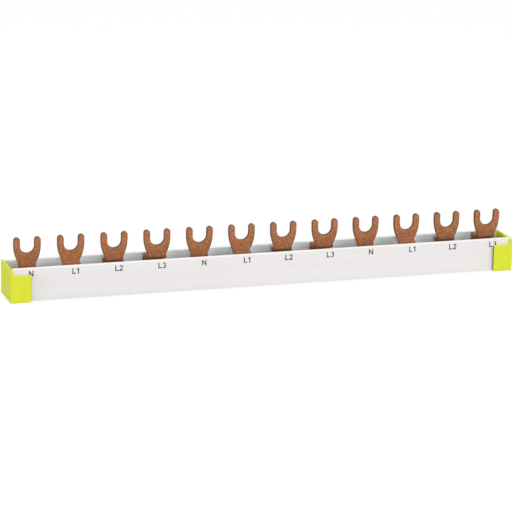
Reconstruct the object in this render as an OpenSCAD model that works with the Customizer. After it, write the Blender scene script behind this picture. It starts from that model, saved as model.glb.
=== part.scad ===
// Comb busbar for a row of modular circuit breakers.
// Four stamped copper bars stand side by side in an insulating trough.
// Their fork terminals are joggled into one common row, and a moulded
// cap closes each end of the trough.
//
// X runs along the bar, Y from the marked front face (-Y) to the back,
// Z points up.  The origin lies under the middle of the part.

/* [Row of forks] */
// Number of forks in the row, shared in turn by the four bars
fork_count = 12; // [4:4:24]
// Distance between neighbouring forks, one breaker module
fork_pitch = 18; // [14:0.5:24]
// Distance from the outermost forks to the end of the trough
end_margin = 7.7; // [6:0.1:14]

/* [Fork] */
// Thickness of the copper sheet
bar_t = 1.5; // [1:0.1:1.9]
// Width over both prongs
fork_w = 11.1; // [9.8:0.1:13]
// Width of the slot between the prongs, and of its half-round bottom
slot_w = 6; // [4:0.1:7]
// Depth of the slot, from the prong tips to the bottom
slot_depth = 6.55; // [5:0.05:9]
// Distance from the slot's bottom centre up to where the flanks start to curve
flank_rise = 0.35; // [0:0.05:0.6]
// Radius of the flanks, which draw the fork in to its neck
flank_r = 15; // [12:0.5:24]
// Width of the neck below the flanks
neck_w = 7.1; // [5.5:0.1:8.6]
// Width of the root strip between the bar and the joggle
root_w = 8.7; // [7.1:0.1:11]
// Height of the prong tips above the top of the trough
fork_reach = 10.9; // [10:0.1:14]

/* [Joggles] */
// Radius inside each corner of a joggle
fold_r = 0.3; // [0.1:0.05:0.5]
// Radius on the coined corner where a joggle meets its root
coin_r = 0.5; // [0.2:0.05:0.5]
// Depth of the three phase joggles below the top of the trough
phase_jog_drop = 0.9; // [0.5:0.05:0.95]
// Height at which the neutral joggle passes over the partitions
neutral_play = 0.5; // [0.3:0.05:0.6]
// Play between the back of a fork and the wide stretch of its root strip
shoulder_play = 0.2; // [0.1:0.05:0.2]

/* [Bars] */
// Height of each bar's strip, below its forks
strip_h = 6.6; // [5:0.1:6.8]
// Distance from each bar's end to the end of the trough
creepage = 1.7; // [0.5:0.1:2.5]

/* [Trough] */
// Thickness of the front and back walls
wall_t = 1.8; // [1:0.1:3]
// Thickness of the floor
floor_t = 1.2; // [0.8:0.1:1.3]
// Height of the trough
trough_h = 13.3; // [13.2:0.1:16]
// Thickness of the three partitions between the bars
partition_t = 1.2; // [1:0.1:1.4]
// Height of the partitions above the strips of the bars
partition_rise = 1.8; // [0.5:0.1:1.8]
// Play on each side of a bar in its channel
bar_play = 0.35; // [0.1:0.05:0.5]
// Radius on the long edges of the walls and the partitions
lip_r = 0.3; // [0.1:0.05:0.4]

/* [End caps] */
// Thickness of the end plate
plate_t = 1; // [0.8:0.1:2]
// Thickness of the front and back flaps
flap_t = 1; // [0.8:0.1:2]
// Thickness of the flange under the trough
flange_t = 0.55; // [0.4:0.05:1.5]
// Distance that the flaps and the flange reach along the trough
flap_reach = 7.4; // [5:0.1:12]
// Distance from the top of the trough down to the top of the flaps
flap_drop = 2.7; // [1.5:0.1:6]
// Distance from the top of the trough down to the top of the end plate
plate_drop = 0.2; // [0:0.05:1]
// Radius on the corners of the flaps
corner_r = 0.6; // [0.2:0.1:1.5]

/* [Hidden] */
$fn = 64;
// A little more than touching, where shapes of one piece are joined
eps = 0.01;
// Spare length that a cutting shape gets past each face
over = 1;

// Order of the bars from front to back
bar_count = 4;
channel_w = bar_t + 2 * bar_play;
channel_pitch = channel_w + partition_t;
trough_d = 2 * wall_t + bar_count * channel_w + (bar_count - 1) * partition_t;
trough_l = (fork_count - 1) * fork_pitch + 2 * end_margin;

// Heights: the caps' flanges stand on z = 0
trough_z = flange_t;
floor_z = trough_z + floor_t;
trough_top = trough_z + trough_h;
tip_z = trough_top + fork_reach;
slot_z = tip_z - slot_depth + slot_w / 2;
flank_z = slot_z + flank_rise;

// The prongs end in full half-rounds
prong_w = (fork_w - slot_w) / 2;
prong_x = (fork_w + slot_w) / 4;

// The flanks reach the neck after they have drawn in by half the difference
flank_in = (fork_w - neck_w) / 2;
neck_z = flank_z - sqrt(flank_r * flank_r - (flank_r - flank_in) * (flank_r - flank_in));

partition_h = strip_h + partition_rise;

// Place of one bar across the trough, seen from its number 0 to 3
function bar_y(bar) = (bar - (bar_count - 1) / 2) * channel_pitch;
// Middle height of a bar's joggle, where its sheet lies level
function jog_z(bar) = bar == 0
    ? floor_z + partition_h + neutral_play + bar_t / 2
    : trough_top - phase_jog_drop;

// What fills an inside corner at the 2D origin up to its radius, for a
// corner whose two faces run along +X and +Y
module corner_fill() {
    difference() {
        translate([-eps, -eps])
            square(fold_r + eps);
        translate([fold_r, fold_r])
            circle(fold_r);
    }
}

// Side view of one fork and its root: straight down from the tips, level
// through the joggle, and down into the channel that lies offset behind it
module joggled_side(offset, middle_z) {
    half = bar_t / 2;
    // The fork, and below it a fold as wide as the sheet is thick
    translate([-half, middle_z + half - eps])
        square([bar_t, tip_z - middle_z - half + eps]);
    intersection() {
        translate([half, middle_z + half])
            circle(bar_t);
        translate([-half, middle_z - half])
            square(bar_t);
    }
    // The level stretch, and the root with its coined corner
    translate([half - eps, middle_z - half])
        square([offset - coin_r + eps, bar_t]);
    translate([offset - half, floor_z])
        square([bar_t, middle_z + half - coin_r - floor_z]);
    translate([offset + half - coin_r, middle_z + half - coin_r])
        circle(coin_r);
    // The two inside corners
    translate([half, middle_z + half])
        corner_fill();
    translate([offset - half, middle_z - half])
        rotate(180) corner_fill();
}

// Front view of one fork with its neck
module fork_outline() {
    difference() {
        union() {
            for (side = [-1, 1]) {
                translate([side * prong_x, tip_z - prong_w / 2])
                    circle(prong_w / 2);
                translate([side * prong_x - prong_w / 2, flank_z - eps])
                    square([prong_w, tip_z - prong_w / 2 - flank_z + eps]);
            }
            intersection() {
                translate([-fork_w / 2, neck_z])
                    square([fork_w, flank_z - neck_z]);
                intersection_for(side = [-1, 1])
                    translate([side * (fork_w / 2 - flank_r), flank_z])
                        circle(flank_r, $fn = 180);
            }
            translate([-neck_w / 2, floor_z])
                square([neck_w, neck_z - floor_z + eps]);
        }
        translate([0, slot_z])
            circle(slot_w / 2);
        translate([-slot_w / 2, slot_z])
            square([slot_w, slot_depth + over]);
    }
}

// The wide stretch of the root strip, as seen from the side.  On a bar in
// front of the forks it ends under the joggle, where the neck sets in, and
// on a bar behind them it runs on over the joggle up to the fork
module root_zone(bar) {
    behind = bar_y(bar) > 0;
    from_y = behind ? bar_t / 2 + shoulder_play : -trough_d / 2;
    to_z = jog_z(bar) + (behind ? 1 : -1) * (bar_t / 2 + fold_r);
    translate([from_y, floor_z])
        square([trough_d / 2 + abs(from_y), to_z - floor_z]);
}

// Extrudes a side view (Y, Z) along X, centred
module along_x(length) {
    rotate([90, 0, 90])
        translate([0, 0, -length / 2])
            linear_extrude(length) children();
}

// Extrudes a front view (X, Z) along Y, centred
module along_y(length) {
    rotate([90, 0, 0])
        translate([0, 0, -length / 2])
            linear_extrude(length) children();
}

// One fork with its joggle and root strip, at x = 0
module fork(bar) {
    offset = abs(bar_y(bar));
    intersection() {
        along_x(max(fork_w, root_w) + over)
            mirror([bar_y(bar) < 0 ? 1 : 0, 0])
                joggled_side(offset, jog_z(bar));
        union() {
            along_y(trough_d) fork_outline();
            along_x(root_w) root_zone(bar);
        }
    }
}

// One stamped bar: a strip on edge and every fourth fork
module copper_bar(bar) {
    translate([-trough_l / 2 + creepage, bar_y(bar) - bar_t / 2, floor_z])
        cube([trough_l - 2 * creepage, bar_t, strip_h]);
    for (i = [bar : bar_count : fork_count - 1])
        translate([(i - (fork_count - 1) / 2) * fork_pitch, 0, 0])
            fork(bar);
}

// An upright wall in section, with both upper edges rounded
module wall_section(width, height) {
    square([width, height - lip_r]);
    translate([lip_r, 0])
        square([width - 2 * lip_r, height]);
    for (x = [lip_r, width - lip_r])
        translate([x, height - lip_r])
            circle(lip_r);
}

module trough_housing() {
    color("gainsboro")
        along_x(trough_l) {
            translate([-trough_d / 2, trough_z])
                square([trough_d, floor_t]);
            for (y = [-trough_d / 2, trough_d / 2 - wall_t])
                translate([y, trough_z])
                    wall_section(wall_t, trough_h);
            for (gap = [0 : bar_count - 2])
                translate([(bar_y(gap) + bar_y(gap + 1) - partition_t) / 2, floor_z - eps])
                    wall_section(partition_t, partition_h + eps);
        }
}

module neutral_bar() { color("peru") copper_bar(0); }

module phase_bar_1() { color("peru") copper_bar(1); }

module phase_bar_2() { color("peru") copper_bar(2); }

module phase_bar_3() { color("peru") copper_bar(3); }

// A flap in front view, from x = 0, with its two free corners rounded
module flap_outline(height) {
    length = plate_t + flap_reach;
    square([length - corner_r, height]);
    translate([0, corner_r])
        square([length, height - 2 * corner_r]);
    for (z = [corner_r, height - corner_r])
        translate([length - corner_r, z])
            circle(corner_r);
}

// The cap for the left end, one moulded piece: an end plate with a flap
// on each side of the trough and a flange under it
module end_cap() {
    cap_d = trough_d + 2 * flap_t;
    flap_h = trough_top - flap_drop;
    translate([-trough_l / 2 - plate_t, 0, 0]) {
        translate([0, -cap_d / 2, 0])
            cube([plate_t, cap_d, trough_top - plate_drop]);
        for (y = [-1, 1])
            translate([0, y * (trough_d + flap_t) / 2, 0])
                along_y(flap_t) flap_outline(flap_h);
        translate([0, -trough_d / 2 - eps, 0])
            cube([plate_t + flap_reach - corner_r, trough_d + 2 * eps, flange_t]);
    }
}

module left_end_cap() { color("yellowgreen") end_cap(); }

module right_end_cap() { color("yellowgreen") mirror([1, 0, 0]) end_cap(); }

trough_housing();
neutral_bar();
phase_bar_1();
phase_bar_2();
phase_bar_3();
left_end_cap();
right_end_cap();
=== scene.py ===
import math

import bpy
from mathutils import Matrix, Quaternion, Vector


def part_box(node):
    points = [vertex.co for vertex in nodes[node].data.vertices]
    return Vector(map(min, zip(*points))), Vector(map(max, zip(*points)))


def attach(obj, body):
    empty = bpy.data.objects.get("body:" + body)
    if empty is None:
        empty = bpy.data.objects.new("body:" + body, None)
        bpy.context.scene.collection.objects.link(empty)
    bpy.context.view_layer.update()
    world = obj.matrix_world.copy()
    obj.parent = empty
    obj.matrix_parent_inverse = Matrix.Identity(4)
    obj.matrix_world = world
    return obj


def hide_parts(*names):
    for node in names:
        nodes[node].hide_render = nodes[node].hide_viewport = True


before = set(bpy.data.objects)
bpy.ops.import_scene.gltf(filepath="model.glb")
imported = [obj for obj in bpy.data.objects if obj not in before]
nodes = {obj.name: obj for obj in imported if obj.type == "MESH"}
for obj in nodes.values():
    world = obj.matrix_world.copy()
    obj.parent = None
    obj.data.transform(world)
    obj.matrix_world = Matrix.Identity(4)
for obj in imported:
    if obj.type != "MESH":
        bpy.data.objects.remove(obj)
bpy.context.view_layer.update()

mm = 0.001


def pick(piece):
    bpy.ops.object.select_all(action="DESELECT")
    piece.select_set(True)
    bpy.context.view_layer.objects.active = piece


def colour(red, green, blue):
    # Display values from 0 to 255, turned into the linear values of a socket
    def linear(value):
        value = value / 255
        return value / 12.92 if value <= 0.04045 else ((value + 0.055) / 1.055) ** 2.4

    return (linear(red), linear(green), linear(blue), 1.0)


def grey(level):
    return (level, level, level, 1.0)


# Shader building

def newMaterial(name):
    material = bpy.data.materials.new(name)
    material.use_nodes = True
    return material, material.node_tree


def feed(tree, socket, value):
    # A fixed value is set on the socket, and another node's output is linked to it
    if isinstance(value, (int, float, tuple)):
        socket.default_value = value
    else:
        tree.links.new(value, socket)


def mathNode(tree, operation, *values):
    node = tree.nodes.new("ShaderNodeMath")
    node.operation = operation
    for socket, value in zip(node.inputs, values):
        feed(tree, socket, value)
    return node.outputs[0]


def mixColour(tree, factor, first, second):
    node = tree.nodes.new("ShaderNodeMix")
    node.data_type = "RGBA"
    # The sockets for colours come after those for numbers and vectors
    feed(tree, node.inputs[0], factor)
    feed(tree, node.inputs[6], first)
    feed(tree, node.inputs[7], second)
    return node.outputs[2]


def ramp(tree, value, start, full):
    # 0 at start, 1 at full, and a smooth change between them
    node = tree.nodes.new("ShaderNodeMapRange")
    node.interpolation_type = "SMOOTHSTEP"
    feed(tree, node.inputs["Value"], value)
    feed(tree, node.inputs["From Min"], start)
    feed(tree, node.inputs["From Max"], full)
    return node.outputs[0]


def newGroup(name, inputs, outputs):
    # A node group with its sockets, each given as its name and its type
    group = bpy.data.node_groups.new(name, "ShaderNodeTree")
    for inOut, sockets in (("INPUT", inputs), ("OUTPUT", outputs)):
        for socketName, socketType in sockets.items():
            group.interface.new_socket(name=socketName, in_out=inOut, socket_type=socketType)
    return group, group.nodes.new("NodeGroupInput"), group.nodes.new("NodeGroupOutput")


def placeGroup(tree, group, values):
    node = tree.nodes.new("ShaderNodeGroup")
    node.node_tree = group
    for name, value in values.items():
        node.inputs[name].default_value = value
    return node


edgeShadeMask = {
    "samples": 6,
    "full": 0.10,  # how far the rounded normal has left the flat one where the mask is 1
}


def makeEdgeShadeGroup():
    # 1 along the rounded edges, where painted shade goes, 0 on the flats
    group, entry, outlet = newGroup("edgeShade", {"Reach": "NodeSocketFloat"},
                                    {"Mask": "NodeSocketFloat"})
    bevel = group.nodes.new("ShaderNodeBevel")
    bevel.samples = edgeShadeMask["samples"]
    group.links.new(entry.outputs["Reach"], bevel.inputs["Radius"])
    geometry = group.nodes.new("ShaderNodeNewGeometry")
    along = group.nodes.new("ShaderNodeVectorMath")
    along.operation = "DOT_PRODUCT"
    group.links.new(bevel.outputs[0], along.inputs[0])
    group.links.new(geometry.outputs["True Normal"], along.inputs[1])
    away = mathNode(group, "SUBTRACT", 1.0, along.outputs["Value"])
    group.links.new(ramp(group, away, 0.0, edgeShadeMask["full"]), outlet.inputs["Mask"])
    return group


# Each layer of the grain: the socket that scales it, how much finer it is, and its detail
grainLayers = {
    "Patches": {"scale": "Patch Scale", "finer": 1.0, "detail": 2.0},
    "Specks": {"scale": "Speck Scale", "finer": 1.0, "detail": 2.0},
    "Flecks": {"scale": "Speck Scale", "finer": 1.7, "detail": 1.0},
}


def makeSurfaceGrainGroup():
    # Soft patches, fine specks and finer flecks, stretched along one direction
    inputs = {
        "Patch Scale": "NodeSocketFloat",
        "Speck Scale": "NodeSocketFloat",
        "Stretch": "NodeSocketVector",
    }
    outputs = {name: "NodeSocketFloat" for name in grainLayers}
    group, entry, outlet = newGroup("surfaceGrain", inputs, outputs)
    place = group.nodes.new("ShaderNodeTexCoord")
    mapping = group.nodes.new("ShaderNodeMapping")
    group.links.new(place.outputs["Object"], mapping.inputs["Vector"])
    group.links.new(entry.outputs["Stretch"], mapping.inputs["Scale"])
    for name, layer in grainLayers.items():
        noise = group.nodes.new("ShaderNodeTexNoise")
        noise.inputs["Detail"].default_value = layer["detail"]
        scale = mathNode(group, "MULTIPLY", entry.outputs[layer["scale"]], layer["finer"])
        group.links.new(scale, noise.inputs["Scale"])
        group.links.new(mapping.outputs[0], noise.inputs["Vector"])
        group.links.new(noise.outputs[0], outlet.inputs[name])
    return group


edgeShade = makeEdgeShadeGroup()
surfaceGrain = makeSurfaceGrainGroup()
bumpStrength = 0.5
print("shader groups made")


def placeGrain(tree, surface, stretch):
    return placeGroup(tree, surfaceGrain, {
        "Patch Scale": surface["patchScale"],
        "Speck Scale": surface["speckScale"],
        "Stretch": stretch,
    })


def addBump(tree, shader, height, distance):
    bump = tree.nodes.new("ShaderNodeBump")
    bump.inputs["Strength"].default_value = bumpStrength
    bump.inputs["Distance"].default_value = distance
    tree.links.new(height, bump.inputs["Height"])
    tree.links.new(bump.outputs[0], shader.inputs["Normal"])


# Rounded pieces

rounding = {
    "weld": 0.002 * mm,  # vertices nearer to each other than this become one
    "flat": math.radians(0.5),  # faces that turn less than this become one
    "sharp": math.radians(35),  # edges that turn more than this are rounded
    "smooth": math.radians(30),  # edges that turn less than this are shaded smooth
}


def roundedCopy(nodeName, pieceName, piece):
    # A merged copy of the solid's mesh, with its sharp edges rounded
    copy = bpy.data.objects.new(pieceName, nodes[nodeName].data.copy())
    bpy.context.scene.collection.objects.link(copy)
    copy.data.materials.clear()
    pick(copy)
    bpy.ops.object.mode_set(mode="EDIT")
    bpy.ops.mesh.select_all(action="SELECT")
    bpy.ops.mesh.remove_doubles(threshold=rounding["weld"])
    bpy.ops.mesh.dissolve_limited(angle_limit=rounding["flat"])
    bpy.ops.object.mode_set(mode="OBJECT")
    bevel = copy.modifiers.new("edgeRadius", "BEVEL")
    bevel.limit_method = "ANGLE"
    bevel.angle_limit = rounding["sharp"]
    bevel.width = piece["edgeRadius"]
    bevel.segments = piece["segments"]
    bevel.use_clamp_overlap = False
    bpy.ops.object.modifier_apply(modifier=bevel.name)
    bpy.ops.object.shade_smooth_by_angle(angle=rounding["smooth"])
    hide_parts(nodeName)
    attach(copy, "root")
    return copy


# Copper bars

copper = {
    "face": colour(183, 96, 41),
    "paintedShade": colour(84, 56, 34),  # brown painted shade on the rounded edges and on faces that lie in shade
    # Painted light: a lighter copper mixed into the forks low in the trough
    "paintedLight": colour(216, 140, 92),
    "bounce": colour(112, 115, 120),  # what other surfaces see of the bars
    "bounceShare": 0.85,
    "metallic": 0.1,
    "specular": 0.3,
    "roughness": 0.46,
    "roughSpread": 0.14,
    "patchScale": 800.0,
    "speckScale": 1800.0,
    "bump": 0.03 * mm,
    "edgeReach": 0.5 * mm,
    "edgeShare": 0.82,
    "paintedLightTop": 17.0 * mm,  # below this height the forks get painted light, which lifts the shade low in the trough
    "paintedLightFade": 4.0 * mm,
}

# Where each layer of the grain sets in and is full, its colour and its share
copperLayers = {
    "Patches": {"rise": (0.35, 0.65), "colour": colour(154, 103, 49), "share": 1.0},
    "Specks": {"rise": (0.32, 0.68), "colour": colour(210, 152, 118), "share": 0.52},
    "Flecks": {"rise": (0.35, 0.75), "colour": colour(104, 50, 18), "share": 0.65},
}

# How the grain is drawn out, the shares of painted shade and of painted light, and how much rougher each
# finish is
copperFinishes = {
    "rolledCopper": {"stretch": (1.0, 1.0, 0.8), "paintedShade": 0.0, "paintedLight": 0.10, "rougher": 0.0},
    "forwardCopper": {"stretch": (1.0, 1.0, 0.8), "paintedShade": 0.0, "paintedLight": 0.32, "rougher": 0.0},
    # Painted shade on the undersides and outer corners of the folds
    "foldShadedCopper": {"stretch": (1.0, 1.0, 0.8), "paintedShade": 0.25, "paintedLight": 0.0, "rougher": 0.0},
    # Painted shade on the link tops behind the forks, deep in the trough
    "shadedCopper": {"stretch": (1.0, 1.0, 1.0), "paintedShade": 0.45, "paintedLight": 0.0, "rougher": 0.12},
    # The sheared sides: grain drawn out and rougher from the punch, and painted shade
    "punchedShadedCopper": {"stretch": (1.0, 0.15, 1.0), "paintedShade": 0.75, "paintedLight": 0.0, "rougher": 0.12},
}


def makeCopperMaterial(name):
    finish = copperFinishes[name]
    material, tree = newMaterial(name)
    principled = tree.nodes["Principled BSDF"]
    grain = placeGrain(tree, copper, finish["stretch"])
    masks = {}
    base = copper["face"]
    for layerName, layer in copperLayers.items():
        masks[layerName] = ramp(tree, grain.outputs[layerName], *layer["rise"])
        share = mathNode(tree, "MULTIPLY", masks[layerName], layer["share"])
        base = mixColour(tree, share, base, layer["colour"])
    # Painted light: lighter low on the forks, where the trough's shade falls
    if finish["paintedLight"]:
        place = tree.nodes.new("ShaderNodeTexCoord")
        height = tree.nodes.new("ShaderNodeSeparateXYZ")
        tree.links.new(place.outputs["Object"], height.inputs[0])
        top = copper["paintedLightTop"]
        low = ramp(tree, height.outputs["Z"], top, top - copper["paintedLightFade"])
        share = mathNode(tree, "MULTIPLY", low, finish["paintedLight"])
        base = mixColour(tree, share, base, copper["paintedLight"])
    # Painted shade on the faces that lie in shade
    if finish["paintedShade"]:
        base = mixColour(tree, finish["paintedShade"], base, copper["paintedShade"])
    # Painted shade along the rounded edges
    wear = placeGroup(tree, edgeShade, {"Reach": copper["edgeReach"]})
    share = mathNode(tree, "MULTIPLY", wear.outputs["Mask"], copper["edgeShare"])
    base = mixColour(tree, share, base, copper["paintedShade"])
    # The trough around the bars picks up little of their colour
    path = tree.nodes.new("ShaderNodeLightPath")
    bounced = mathNode(tree, "MULTIPLY", path.outputs["Is Diffuse Ray"], copper["bounceShare"])
    tree.links.new(mixColour(tree, bounced, base, copper["bounce"]), principled.inputs["Base Color"])
    # The brown grain hides most of the metal
    principled.inputs["Metallic"].default_value = copper["metallic"]
    principled.inputs["Specular IOR Level"].default_value = copper["specular"]
    smoothest = copper["roughness"] + finish["rougher"]
    rough = mathNode(tree, "MULTIPLY_ADD", masks["Specks"], copper["roughSpread"], smoothest)
    tree.links.new(rough, principled.inputs["Roughness"])
    addBump(tree, principled, grain.outputs["Specks"], copper["bump"])
    return material


copperMaterials = {name: makeCopperMaterial(name) for name in copperFinishes}
print("copper materials made")

bars = {
    "names": {
        "neutral_bar": "copperBarN",
        "phase_bar_1": "copperBarL1",
        "phase_bar_2": "copperBarL2",
        "phase_bar_3": "copperBarL3",
    },
    "forward": "phase_bar_1",  # its joggles lie in front of the forks, in sight, and get the most painted light
    "edgeRadius": 0.12 * mm,
    "segments": 2,
    "sheetHalf": 0.75 * mm,
    "folds": (10.5 * mm, 14.0 * mm),  # the joggles lie between these heights
    "facing": 0.5,  # share of a face's normal from which it faces along an axis
    "under": -0.15,  # upright share of the normals on the underside of a fold
    "corner": 0.2,  # share of the normals on a fold's outer corner, upwards and forwards, which gets painted shade
}


def barFinish(face, sheet):
    # The finish of a bar's face, by its place and by the way it faces; the sheared sides, the fold
    # undersides and corners, and the link tops behind the forks get painted shade
    center = face.center
    normal = face.normal
    level = abs(normal.z) > bars["facing"]
    if not bars["folds"][0] < center.z < bars["folds"][1]:
        return "punchedShadedCopper" if level or abs(normal.x) > bars["facing"] else sheet
    underside = abs(center.y) < bars["sheetHalf"] and normal.z < bars["under"]
    shadedCorner = -normal.y > bars["corner"] and normal.z > bars["corner"]
    if underside or shadedCorner:
        return "foldShadedCopper"
    return "shadedCopper" if level and center.y > 0 else sheet


for nodeName, pieceName in bars["names"].items():
    bar = roundedCopy(nodeName, pieceName, bars)
    sheet = "forwardCopper" if nodeName == bars["forward"] else "rolledCopper"
    finishes = (sheet, "punchedShadedCopper", "shadedCopper", "foldShadedCopper")
    for finish in finishes:
        bar.data.materials.append(copperMaterials[finish])
    for face in bar.data.polygons:
        face.material_index = finishes.index(barFinish(face, sheet))
print("copper bars rounded")


# Plastic pieces

plastic = {
    "ior": 1.53,
    "specular": 0.25,
    "roughSpread": 0.12,
    "patchRise": (0.3, 0.7),
}


def makePlasticMaterial(name, paint, piece):
    material, tree = newMaterial(name)
    principled = tree.nodes["Principled BSDF"]
    principled.inputs["IOR"].default_value = plastic["ior"]
    principled.inputs["Specular IOR Level"].default_value = plastic["specular"]
    grain = placeGrain(tree, piece, piece["stretch"])
    patches = ramp(tree, grain.outputs["Patches"], *plastic["patchRise"])
    darker = tuple(part * (1 - piece["patchShade"]) for part in paint[:3]) + (1.0,)
    tree.links.new(mixColour(tree, patches, darker, paint), principled.inputs["Base Color"])
    spread = plastic["roughSpread"]
    smoothest = piece["roughness"] - spread / 2
    rough = mathNode(tree, "MULTIPLY_ADD", grain.outputs["Specks"], spread, smoothest)
    tree.links.new(rough, principled.inputs["Roughness"])
    addBump(tree, principled, grain.outputs["Specks"], piece["bump"])
    return material


housing = {
    "outside": colour(234, 230, 228),
    # Painted light lifting the shade inside the walls
    "inside": colour(244, 246, 245),
    # Painted highlight on the lips
    "lip": colour(245, 241, 239),
    "roughness": 0.50,
    "stretch": (0.02, 1.0, 1.0),  # the grain is drawn out along the extrusion
    "patchScale": 300.0,
    "speckScale": 2200.0,
    "patchShade": 0.03,
    "bump": 0.02 * mm,
    "edgeRadius": 0.15 * mm,
    "segments": 2,
    "wallsFrom": 6 * mm,  # the front and back walls lie farther out than this
    "facing": 0.5,  # share of a wall's normal from which it faces forwards or backwards
    "lipFacing": 0.3,  # share of a normal from which it belongs to the lip
}
trough = roundedCopy("trough_housing", "roundedTrough", housing)
for name, part in (("extrudedPlastic", "outside"), ("innerPlasticPaintedLight", "inside"), ("lipPlasticPaintedHighlight", "lip")):
    trough.data.materials.append(makePlasticMaterial(name, housing[part], housing))
# Painted light: the walls' insides are painted a little lighter than their outsides to lift their shade,
# and the lips likewise as a painted highlight
for face in trough.data.polygons:
    if abs(face.center.y) < housing["wallsFrom"]:
        continue
    if face.normal.z > housing["lipFacing"]:
        face.material_index = 2
    elif face.center.y * face.normal.y < 0 and abs(face.normal.y) > housing["facing"]:
        face.material_index = 1
print("trough rounded")

caps = {
    "names": {"left_end_cap": "limeCapLeft", "right_end_cap": "limeCapRight"},
    "face": colour(219, 225, 48),
    # Painted shade for the flaps' free edges
    "freeEdgePaintedShade": colour(118, 116, 58),
    "roughness": 0.58,
    "stretch": (1.0, 1.0, 1.0),
    "patchScale": 250.0,
    "speckScale": 5200.0,
    "patchShade": 0.03,
    "bump": 0.03 * mm,
    "edgeRadius": 0.2 * mm,
    "segments": 3,
    "facing": 0.5,  # share of a face's normal from which it faces along the bar
}
limePlastic = makePlasticMaterial("limePlastic", caps["face"], caps)
limeEdgePaintedShade = makePlasticMaterial("limeEdgePaintedShade", caps["freeEdgePaintedShade"], caps)
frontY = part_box("trough_housing")[0].y
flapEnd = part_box("right_end_cap")[0].x + caps["edgeRadius"]
for nodeName, pieceName in caps["names"].items():
    cap = roundedCopy(nodeName, pieceName, caps)
    cap.data.materials.append(limePlastic)
    cap.data.materials.append(limeEdgePaintedShade)
    # Painted shade on the free edge of each flap, darker than its face
    for face in cap.data.polygons:
        atEnd = abs(face.center.x) < flapEnd and abs(face.center.y) > abs(frontY)
        face.material_index = int(atEnd and abs(face.normal.x) > caps["facing"])
print("caps rounded")


# Conductor marks

marks = {
    "letters": ("N", "L1", "L2", "L3"),
    "ink": colour(50, 50, 56),
    "roughness": 0.55,
    "stretch": (1.0, 1.0, 1.0),
    "patchScale": 900.0,
    "speckScale": 4000.0,
    "patchShade": 0.10,
    "bump": 0.01 * mm,
    "height": 2.36 * mm,
    "stroke": 0.42 * mm,
    "strokeSteps": 2,
    "thickness": 0.02 * mm,
    "gap": 0.33,  # between letters, as a share of the height
    "belowTop": 2.2 * mm,
    "aside": {"N": -0.14 * mm, "L": 0.1 * mm},  # by the first letter
    "pitch": 18 * mm,
    "count": 12,
    "smooth": math.radians(40),
}
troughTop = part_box("trough_housing")[1].z
markInk = makePlasticMaterial("markInk", marks["ink"], marks)


def arc(x, y, radius, start, end, steps=10):
    turns = [math.radians(start + (end - start) * step / steps) for step in range(steps + 1)]
    return [(x + radius * math.cos(turn), y + radius * math.sin(turn)) for turn in turns]


# Each letter's width and pen strokes, on a height of 1
glyphs = {
    "N": (0.74, [[(0, 0), (0, 1)], [(0, 1), (0.74, 0)], [(0.74, 0), (0.74, 1)]]),
    "L": (0.54, [[(0, 0), (0, 1)], [(0, 0), (0.54, 0)]]),
    "1": (0.34, [[(0.34, 0), (0.34, 1)], [(0.34, 1), (0, 0.74)]]),
    "2": (0.58, [arc(0.29, 0.71, 0.29, 165, -35) + [(0, 0)], [(0, 0), (0.58, 0)]]),
    "3": (0.56, [arc(0.27, 0.74, 0.26, 150, -90), arc(0.27, 0.25, 0.28, 90, -150)]),
}


def squareEnds(stroke, reach):
    # An upright or level stroke runs on by half its width, so that the corners close
    start = Vector(stroke[0])
    end = Vector(stroke[-1])
    if len(stroke) > 2 or (start.x != end.x and start.y != end.y):
        return stroke
    step = (end - start).normalized() * reach
    return [start - step, end + step]


def drawStroke(curve, stroke, across, tall):
    stroke = squareEnds(stroke, marks["stroke"] / 2 / tall)
    spline = curve.splines.new("POLY")
    spline.points.add(len(stroke) - 1)
    for point, (x, y) in zip(spline.points, stroke):
        point.co = ((across + x) * tall, 0, (y - 0.5) * tall, 1)


def printMark(number):
    letters = marks["letters"][number % len(marks["letters"])]
    tall = marks["height"] - marks["stroke"]
    curve = bpy.data.curves.new(f"phaseMark{number + 1}", "CURVE")
    curve.dimensions = "3D"
    curve.bevel_depth = marks["stroke"] / 2
    curve.bevel_resolution = marks["strokeSteps"]
    curve.use_fill_caps = True
    width = sum(glyphs[letter][0] for letter in letters) + marks["gap"] * (len(letters) - 1)
    across = -width / 2
    for letter in letters:
        letterWidth, strokes = glyphs[letter]
        for stroke in strokes:
            drawStroke(curve, stroke, across, tall)
        across += letterWidth + marks["gap"]
    mark = bpy.data.objects.new(curve.name, curve)
    bpy.context.scene.collection.objects.link(mark)
    pick(mark)
    bpy.ops.object.convert(target="MESH")
    mark = bpy.context.object
    # The round strokes are pressed almost flat on the front wall
    mark.scale.y = marks["thickness"] / marks["stroke"]
    x = (number - (marks["count"] - 1) / 2) * marks["pitch"] + marks["aside"][letters[0]]
    mark.location = (x, frontY, troughTop - marks["belowTop"])
    bpy.ops.object.transform_apply(location=True, rotation=True, scale=True)
    bpy.ops.object.shade_smooth_by_angle(angle=marks["smooth"])
    mark.data.materials.append(markInk)
    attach(mark, "root")


for number in range(marks["count"]):
    printMark(number)
print("marks printed")


# Camera

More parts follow.
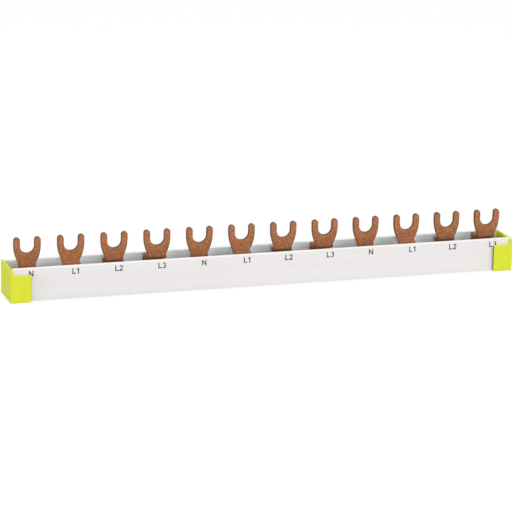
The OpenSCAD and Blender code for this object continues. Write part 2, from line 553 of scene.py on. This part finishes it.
view = {
    "azimuth": 18.0,
    "elevation": 15.0,
    "roll": 1.15,
    "distance": 1.174,
    "lens": 202.2,
    "sensor": 36.0,
    "clip": (0.01, 50),
    "target": (-5.12 * mm, -8.0 * mm, 13.05 * mm),
}
azimuth = math.radians(view["azimuth"])
elevation = math.radians(view["elevation"])
back = Vector((-math.sin(azimuth) * math.cos(elevation),
               -math.cos(azimuth) * math.cos(elevation),
               math.sin(elevation)))
turn = back.to_track_quat("Z", "Y") @ Quaternion((0, 0, 1), math.radians(view["roll"]))
bpy.ops.object.camera_add(location=Vector(view["target"]) + back * view["distance"],
                          rotation=turn.to_euler())
camera = bpy.context.object
camera.data.sensor_width = view["sensor"]
camera.data.lens = view["lens"]
camera.data.clip_start = view["clip"][0]
camera.data.clip_end = view["clip"][1]
bpy.context.scene.camera = camera
print("camera placed")


# Studio

studio = {
    "sky": (0.49, 0.505, 0.52, 1.0),
    "background": grey(1.0),
    "floorSize": 30.0,
    "floorPaint": grey(0.80),
    "floorGlow": 0.80,
    "shadowPaint": grey(0.20),  # what the floor adds to its glow where light falls on it
    "aim": (0, 0, 0.01),
    "softboxes": {
        "front": {"place": (-0.35, -2.6, 0.35), "size": 0.7, "power": 13.0},
        "right": {"place": (1.8, -1.9, 0.6), "size": 0.7, "power": 14.0},
        "left": {"place": (-2.6, -0.3, 0.5), "size": 0.7, "power": 9.5},
        "top": {"place": (0, 0, 2.6), "size": 0.9, "power": 32.0},
    },
}


def seesBackground(tree):
    # 1 for what the camera sees, also mirrored in a surface or through it
    path = tree.nodes.new("ShaderNodeLightPath")
    seen = mathNode(tree, "MAXIMUM", path.outputs["Is Camera Ray"], path.outputs["Is Glossy Ray"])
    return mathNode(tree, "MAXIMUM", seen, path.outputs["Is Transmission Ray"])


def makeWorld():
    world = bpy.data.worlds.new("studioWorld")
    bpy.context.scene.world = world
    world.use_nodes = True
    tree = world.node_tree
    sky = mixColour(tree, seesBackground(tree), studio["sky"], studio["background"])
    tree.links.new(sky, tree.nodes["Background"].inputs["Color"])


def makeFloor():
    bpy.ops.object.select_all(action="DESELECT")
    bpy.ops.mesh.primitive_plane_add(size=studio["floorSize"])
    floor = bpy.context.object
    floor.name = "studioFloor"
    material, tree = newMaterial("floorPaint")
    tree.nodes.remove(tree.nodes["Principled BSDF"])
    paint = tree.nodes.new("ShaderNodeBsdfDiffuse")
    paint.inputs["Color"].default_value = studio["floorPaint"]
    shaded = tree.nodes.new("ShaderNodeBsdfDiffuse")
    shaded.inputs["Color"].default_value = studio["shadowPaint"]
    glow = tree.nodes.new("ShaderNodeEmission")
    glow.inputs["Strength"].default_value = studio["floorGlow"]
    # What the camera sees glows, and keeps the object's shadow
    seen = tree.nodes.new("ShaderNodeAddShader")
    tree.links.new(shaded.outputs[0], seen.inputs[0])
    tree.links.new(glow.outputs[0], seen.inputs[1])
    mix = tree.nodes.new("ShaderNodeMixShader")
    tree.links.new(seesBackground(tree), mix.inputs[0])
    tree.links.new(paint.outputs[0], mix.inputs[1])
    tree.links.new(seen.outputs[0], mix.inputs[2])
    tree.links.new(mix.outputs[0], tree.nodes["Material Output"].inputs["Surface"])
    floor.data.materials.append(material)


def addSoftbox(name, place, size, power):
    bpy.ops.object.light_add(type="AREA", location=place)
    lamp = bpy.context.object
    lamp.name = name
    lamp.data.shape = "DISK"
    lamp.data.size = size
    lamp.data.energy = power
    away = Vector(place) - Vector(studio["aim"])
    lamp.rotation_euler = away.to_track_quat("Z", "Y").to_euler()


makeWorld()
makeFloor()
for side, softbox in studio["softboxes"].items():
    addSoftbox(f"{side}Softbox", **softbox)

bpy.context.scene.view_settings.view_transform = "Standard"
print("studio lit")
